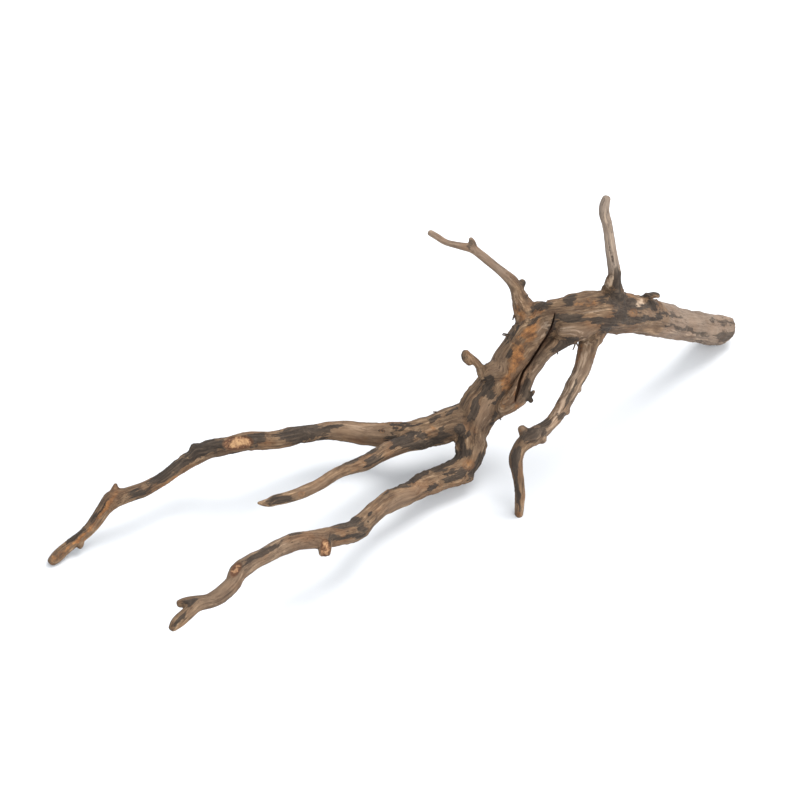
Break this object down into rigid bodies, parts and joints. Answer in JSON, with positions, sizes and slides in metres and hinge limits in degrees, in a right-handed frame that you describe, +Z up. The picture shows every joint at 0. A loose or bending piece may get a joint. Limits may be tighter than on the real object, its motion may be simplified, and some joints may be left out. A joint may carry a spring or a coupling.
{
  "type": "piece of driftwood",
  "caption": "Bare root-like driftwood branch with a split, arched trunk, long forked limbs, a bent leg and thin upright twigs, lying on a surface.",
  "frame": {"origin": "middle of the piece's footprint, on the plane it rests on", "axes": "+Z up from the surface it rests on; +X along its length, towards the sawn butt; +Y across it, away from the side with the bent leg"},
  "size_m": [0.4995, 0.3586, 0.1982],
  "materials": {
    "driftwood": "weathered bare wood, matte, with darker bark patches"
  },
  "bodies": {
    "root": {"driftwood": "driftwood"}
  },
  "joints": []
}
